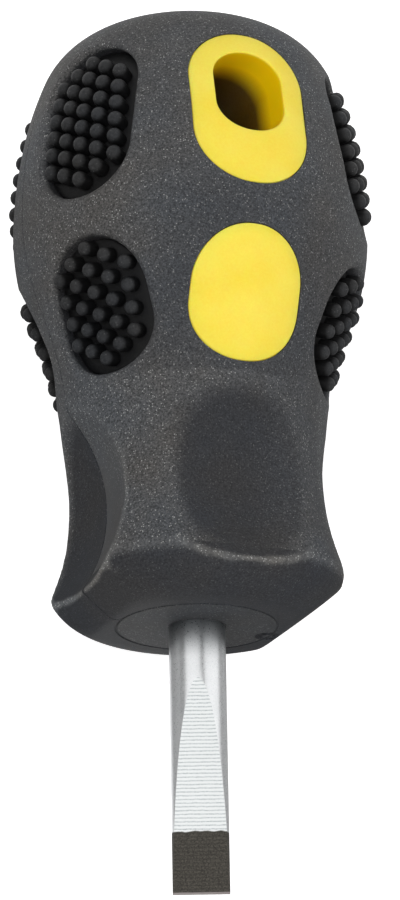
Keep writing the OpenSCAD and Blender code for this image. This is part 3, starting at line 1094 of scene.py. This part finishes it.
def elastomer(name, shaded, rubbed_and_lit, speck, share, roughness, gloss):
    """Two pairs of greys that the grain mixes: the first is painted shade for places in shelter, the second
    is for places that stand proud, paler from wear and from painted light.
    """
    material, tree, shader = new_material(name)
    place = object_place(tree)
    # The grip's tone attribute and the pale edges carry painted light and painted shade as well as wear.
    edge = attribute(tree, "worn_and_highlit")
    proud = math_node(tree, "MAXIMUM", attribute(tree, "rubbed_and_lit"), edge)
    grain = noise(tree, place, GRAIN_SCALE, 4, 0.75)
    patches = noise(tree, place, PATCH_SCALE, 4)
    cells = add(tree, "ShaderNodeTexVoronoi", {"Vector": place, "Scale": SPECK_SCALE, "Randomness": 1.0})
    pick = add(tree, "ShaderNodeSeparateColor", {"Color": cells.outputs["Color"]}).outputs[0]
    kept = ramp(tree, math_node(tree, "ADD", pick, ramp(tree, edge, 0, 1, 0, EDGE_SPECKS)), 1 - share, 1)
    dot = ramp(tree, cells.outputs["Distance"], 0.6, 0.2)
    grainy = ramp(tree, attribute(tree, "polished"), 0, 1, 1, 0.25)
    shown = math_node(tree, "MULTIPLY", ramp(tree, proud, 0, 1, 0.15, 1), grainy)
    mask = math_node(tree, "MULTIPLY", math_node(tree, "MULTIPLY", kept, dot), shown)
    mix = math_node(tree, "MULTIPLY_ADD", ramp(tree, grain, 0.38, 0.66, -0.5, 0.5), grainy, 0.5)
    low, high = [blend_colours(tree, mix, dark, light) for dark, light in (shaded, rubbed_and_lit)]
    worn_and_highlit = math_node(tree, "MULTIPLY", proud, ramp(tree, patches, 0.3, 0.7, 0.72, 1.0))
    toned = blend_colours(tree, worn_and_highlit, low, high)
    # Edges turn towards the pale grey: wear, and a painted highlight.
    toned = blend_colours(tree, ramp(tree, edge, 0, 1, 0, EDGE_SHARE), toned, EDGE_GREY)
    clouds = ramp(tree, noise(tree, place, CLOUD_SCALE, 3), 0.35, 0.65)
    toned = blend_colours(tree, 1.0, toned, blend_colours(tree, clouds, COOL, WARM), "MULTIPLY")
    connect(tree, shader, {"Base Color": blend_colours(tree, mask, toned, speck),
                           "Roughness": ramp(tree, grain, 0.3, 0.7, roughness - 0.08, roughness + 0.1),
                           "Specular IOR Level": gloss})
    bump(tree, shader, grain, 0.4, 0.06 * MM)
    return material


# Each elastomer gets darker greys for painted shade and paler greys for places that stand proud, partly
# painted light.
grip_material = elastomer("grip_elastomer", shaded=((0.012, 0.0127, 0.0145), (0.043, 0.0445, 0.0495)),
                          rubbed_and_lit=((0.026, 0.0265, 0.0275), (0.135, 0.136, 0.138)),
                          speck=(0.45, 0.45, 0.44), share=0.14, roughness=0.66, gloss=0.3)
pad_material = elastomer("pad_elastomer", shaded=((0.002, 0.002, 0.002), (0.005, 0.005, 0.0055)),
                         rubbed_and_lit=((0.012, 0.0125, 0.0135), (0.036, 0.037, 0.039)),
                         speck=(0.10, 0.10, 0.10), share=0.08, roughness=0.55, gloss=0.3)
print("elastomers:", grip_material.name, pad_material.name)

# %% [markdown]
# The core is a hard yellow plastic with a fine spark-eroded grain, which softens its gloss. In the hang hole
# the wall is painted a deeper yellow near the rim, painted light for light that goes from wall to wall, and
# further down it is painted brown, which is painted shade.

# %% Core material
WALL_FROM, WALL_TO = 0.05, 0.5
# Depths in millimetres over which the hole's wall turns brown: painted shade.
HOLE_SHADE_FROM, HOLE_SHADE_TO = 3.6, 7.2
GLOW_DEPTH = 2 * MM
FINE_SCALE, BROAD_SCALE = 3800, 220
DEEP_YELLOW, PALE_YELLOW = (0.96, 0.70, 0.055), (1.0, 0.80, 0.115)
# Painted light: the deeper yellow near the hole's rim stands for light that goes from wall to wall.
WALL_YELLOW = (1.0, 0.70, 0.002)
HOLE_SHADE_BROWN = (0.12, 0.07, 0.010)

core_material, tree, shader = new_material("core_plastic")
place = object_place(tree)
depth = attribute(tree, "depth")
fine = noise(tree, place, FINE_SCALE, 2)
broad = noise(tree, place, BROAD_SCALE, 2)
mottle = math_node(tree, "ADD", ramp(tree, broad, 0.3, 0.7, 0, 0.65), ramp(tree, fine, 0.35, 0.65, 0, 0.35))
tint = blend_colours(tree, mottle, DEEP_YELLOW, PALE_YELLOW)
# Painted light near the hole's rim, then painted shade further down.
wall = blend_colours(tree, ramp(tree, depth, WALL_FROM, WALL_TO), tint, WALL_YELLOW)
hole_shaded = blend_colours(tree, ramp(tree, depth, HOLE_SHADE_FROM, HOLE_SHADE_TO), wall, HOLE_SHADE_BROWN)
connect(tree, shader, {"Base Color": hole_shaded, "Roughness": ramp(tree, fine, 0.3, 0.7, 0.42, 0.58),
                       "Subsurface Weight": 0.5, "Subsurface Radius": (1, 0.5, 0.05),
                       "Subsurface Scale": GLOW_DEPTH})
bump(tree, shader, fine, 0.15, 0.03 * MM)
print("core material:", core_material.name)

# %% [markdown]
# The blade is satin plated steel, painted darker where it leaves the handle, which is painted shade and a
# painted reflection of the dark handle. Its flats are ground bright, with darker lines where the wheel cut
# deeper, and its tip is blackened up to a slightly uneven edge and shows wear at its end. Which faces belong
# to the flats is written into an attribute of the mesh.

# %% Blade material
# Where the shank is painted darker near the handle: painted shade and a painted reflection of the handle.
HANDLE_SHADE_FROM, HANDLE_SHADE_TO = FRONT - 4 * MM, FRONT
WORN_EDGE = 0.08 * MM
FLAT_SIDEWAYS = 0.02
OXIDE_UNEVEN, OXIDE_FADE = 0.1 * MM, 0.06 * MM
LINE_WOBBLE = 0.025 * MM
SATIN_SCALE, STEEL_CLOUD_SCALE = 6000, 400
UNEVEN_SCALE, WOBBLE_SCALE = 900, 1500
STEEL_DULL, STEEL_BRIGHT = (0.82, 0.84, 0.85), (0.98, 0.99, 1.0)
HANDLE_SHADE_GREY = (0.30, 0.32, 0.335)
GROUND_BRIGHT, GROUND_LINE = (0.95, 0.975, 0.975), (0.46, 0.50, 0.515)
OXIDE_DARK, OXIDE_PALE = (0.022, 0.020, 0.016), (0.100, 0.091, 0.076)
OXIDE_LINE = (0.022, 0.020, 0.017)
WORN_GREY = (0.30, 0.26, 0.25)

ground = blade.data.attributes.new("ground", "FLOAT", "FACE")
turn_back = Matrix.Rotation(math.radians(-BLADE_TURN), 3, "Y")
for face, cell in zip(blade.data.polygons, ground.data):
    way = turn_back @ face.normal
    on_flat = abs(way.z) > SQUARE_ON and abs(way.x) < FLAT_SIDEWAYS
    cell.value = 1.0 if face.center.y < FLATS_L and on_flat else 0.0

blade_material, tree, shader = new_material("blade_steel")
place = object_place(tree)
along = add(tree, "ShaderNodeSeparateXYZ", {"Vector": place}).outputs["Y"]
uneven = ramp(tree, noise(tree, place, UNEVEN_SCALE, 3), 0.3, 0.7, -OXIDE_UNEVEN, OXIDE_UNEVEN)
bare = ramp(tree, math_node(tree, "ADD", along, uneven), OXIDE_L - OXIDE_FADE, OXIDE_L + OXIDE_FADE)
satin = noise(tree, place, SATIN_SCALE, 3, 0.6)
cloud = noise(tree, place, STEEL_CLOUD_SCALE, 3)
wobble = ramp(tree, noise(tree, place, WOBBLE_SCALE, 2), 0.3, 0.7, -LINE_WOBBLE, LINE_WOBBLE)
steps = math_node(tree, "DIVIDE", math_node(tree, "ADD", along, wobble), LINE_PITCH)
groove = ramp(tree, math_node(tree, "PINGPONG", steps, 0.5), 0.25, 0.05)
groove = math_node(tree, "MULTIPLY", groove, ramp(tree, satin, 0.35, 0.65, 0.5, 1.0))
speckle = math_node(tree, "ADD", ramp(tree, satin, 0.35, 0.65, 0, 0.6), ramp(tree, cloud, 0.3, 0.7, 0, 0.4))
plated = blend_colours(tree, speckle, STEEL_DULL, STEEL_BRIGHT)
# Painted shade and reflection of the dark handle on the shank, just in front of it.
handle_shade = ramp(tree, math_node(tree, "ADD", along, uneven), HANDLE_SHADE_FROM, HANDLE_SHADE_TO)
plated = blend_colours(tree, handle_shade, plated, HANDLE_SHADE_GREY)
bright = blend_colours(tree, groove, GROUND_BRIGHT, GROUND_LINE)
steel = blend_colours(tree, attribute(tree, "ground"), plated, bright)
oxide = blend_colours(tree, ramp(tree, satin, 0.35, 0.7), OXIDE_DARK, OXIDE_PALE)
oxide = blend_colours(tree, ramp(tree, groove, 0, 1, 0, 0.55), oxide, OXIDE_LINE)
oxide = blend_colours(tree, ramp(tree, along, WORN_EDGE, 0), oxide, WORN_GREY)
rough_steel = ramp(tree, satin, 0.3, 0.7, 0.26, 0.36)
rough = add(tree, "ShaderNodeMix", {0: bare, 2: 0.6, 3: rough_steel}, data_type="FLOAT").outputs[0]
connect(tree, shader, {"Base Color": blend_colours(tree, bare, oxide, steel),
                       "Metallic": ramp(tree, bare, 0, 1, 0.3, 1.0), "Roughness": rough})
bump(tree, shader, satin, 0.05, 0.02 * MM)
print("blade material:", blade_material.name, "with", sum(c.value for c in ground.data), "ground faces")

# %% [markdown]
# Each piece gets its material and rides on the one body, and the solid that it stands for is hidden.

# %% Ride on the body
rows = [(grip, "grip", grip_material, "grip"), (core, "core", core_material, "core"),
        (blade, "blade", blade_material, "blade")]
rows += [(pad, node, pad_material, "pad") for node, pad in pads.items()]
for piece, node, material, slot in rows:
    piece.data.materials.clear()
    piece.data.materials.append(material)
    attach(piece, "root")
    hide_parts(node)

# %% [markdown]
# The tool rests on its collar and its belly, so the floor is a large disc that touches both and rises a
# little towards the tip. To the camera it glows nearly white by itself, as the photo's background does, and
# only the deepest part of the tool's shadow stays on it.

# %% Floor
REST_COLLAR = Vector((0, 33.2 * MM, -14.8 * MM))
REST_BELLY = Vector((0, 73.3 * MM, -19.4 * MM))
FLOOR_R = 1.2
FLOOR_SIDES = 96
FLOOR_GAP = 0.2 * MM
FLOOR_GLOW = 0.72
FLOOR_GLOW_GLOSSY = 0.2

tilt = math.atan2(REST_BELLY.z - REST_COLLAR.z, REST_BELLY.y - REST_COLLAR.y)
floor = primitive("floor", bpy.ops.mesh.primitive_circle_add, vertices=FLOOR_SIDES, radius=FLOOR_R,
                  fill_type="NGON", rotation=(tilt, 0, 0), location=REST_BELLY - Vector((0, 0, FLOOR_GAP)))
floor_material, tree, shader = new_material("floor_paper")
path = add(tree, "ShaderNodeLightPath")
mirrored = math_node(tree, "MAXIMUM", path.outputs["Is Glossy Ray"], path.outputs["Is Transmission Ray"])
glow = math_node(tree, "MAXIMUM", math_node(tree, "MULTIPLY", path.outputs["Is Camera Ray"], FLOOR_GLOW),
                 math_node(tree, "MULTIPLY", mirrored, FLOOR_GLOW_GLOSSY))
connect(tree, shader, {"Base Color": (0.9, 0.9, 0.9, 1), "Roughness": 0.9, "Specular IOR Level": 0.1,
                       "Emission Color": (1, 1, 1, 1), "Emission Strength": glow})
floor.data.materials.append(floor_material)
print(f"floor tilted by {math.degrees(tilt):.1f} degrees")

# %% [markdown]
# Soft studio light: a wide key from the upper left of the camera, a fill from the right, and an even sky.
# Together they bring a white surface to about full white and no further. Bright steel shows its surroundings,
# and all-white surroundings would make it flat, so grey cards shape it, as in a photo studio: one standing
# and one lying on each side, and a narrow darker one above. Only reflections see them.

# %% Light
SKY = 0.22
CARD_GREY = 0.38
CARD_DARK = 0.16


def lamp(name, place, aim, size, watts):
    light = primitive(name, bpy.ops.object.light_add, type="AREA", location=place)
    light.data.size = size
    light.data.energy = watts
    light.rotation_euler = (Vector(aim) - Vector(place)).to_track_quat("-Z", "Y").to_euler()
    light.visible_glossy = False


aim = (0, 0.05, 0)
lamp("key", place=(-0.36, -0.094, 0.605), aim=aim, size=0.4, watts=3.5)
lamp("fill", place=(0.455, 0.05, 0.532), aim=aim, size=0.5, watts=1.86)


def grey_card(name, place, size, turn, grey):
    card = primitive(name, bpy.ops.mesh.primitive_plane_add, size=1, location=place, rotation=turn)
    card.scale = (*size, 1)
    card_material, tree, shader = new_material(name)
    connect(tree, shader, {"Base Color": (grey, grey, grey, 1), "Roughness": 0.9})
    card.data.materials.append(card_material)
    for ray in ("camera", "diffuse", "shadow", "transmission"):
        setattr(card, f"visible_{ray}", False)


for side in (-1, 1):
    grey_card(f"card_side_{side + 1}", place=(side * 0.09, 0.03, 0.008), size=(0.045, 0.24),
              turn=(0, math.pi / 2, 0), grey=CARD_GREY)
    grey_card(f"card_low_{side + 1}", place=(side * 0.049, 0.02, -0.0129), size=(0.082, 0.14),
              turn=(tilt, 0, 0), grey=CARD_GREY)
grey_card("card_above", place=(-0.013, 0.13, 0.30), size=(0.07, 0.5), turn=(0, 0, 0), grey=CARD_DARK)
world = bpy.data.worlds.new("studio")
bpy.context.scene.world = world
world.use_nodes = True
tree = world.node_tree
tree.nodes.clear()
path = add(tree, "ShaderNodeLightPath")
seen = math_node(tree, "MAXIMUM", path.outputs["Is Camera Ray"], path.outputs["Is Glossy Ray"])
seen = math_node(tree, "MAXIMUM", seen, path.outputs["Is Transmission Ray"])
sky = add(tree, "ShaderNodeBackground", {"Color": (1, 1, 1, 1),
                                         "Strength": ramp(tree, seen, 0, 1, SKY, 1.0)})
add(tree, "ShaderNodeOutputWorld", {"Surface": sky.outputs["Background"]})
print("light: key, fill, sky and grey cards")

# %% [markdown]
# The camera stands where the photo was taken from: the tip is tilted towards it, and it sees the handle a
# little from the left of the eye.

# %% Camera
VIEW_TILT = math.radians(19.22)
VIEW_TURN = math.radians(-21.43)
VIEW_ROLL = math.radians(1.01)
AIM_ALONG = 48.41 * MM
AIM_RIGHT = 0.65 * MM
DISTANCE = 0.4
LENS, SENSOR = 149.13, 36

toward = Vector((math.cos(VIEW_TILT) * math.sin(VIEW_TURN), -math.sin(VIEW_TILT),
                 math.cos(VIEW_TILT) * math.cos(VIEW_TURN)))
right = Vector((math.cos(VIEW_TURN), 0, -math.sin(VIEW_TURN)))
up = toward.cross(right)
spot = Vector((0, AIM_ALONG, 0)) + AIM_RIGHT * right
cam_right = math.cos(VIEW_ROLL) * right - math.sin(VIEW_ROLL) * up
cam_up = math.sin(VIEW_ROLL) * right + math.cos(VIEW_ROLL) * up
camera_data = bpy.data.cameras.new("camera")
camera_data.lens = LENS
camera_data.sensor_width = SENSOR
camera_data.clip_start = 0.01
camera = bpy.data.objects.new("camera", camera_data)
bpy.context.scene.collection.objects.link(camera)
turn = Matrix((cam_right, cam_up, toward)).transposed().to_4x4()
camera.matrix_world = Matrix.Translation(spot + DISTANCE * toward) @ turn
bpy.context.scene.camera = camera
bpy.context.scene.view_settings.view_transform = "Standard"
print("camera at", [round(c, 4) for c in camera.location])

# %% Finish
bpy.context.view_layer.update()
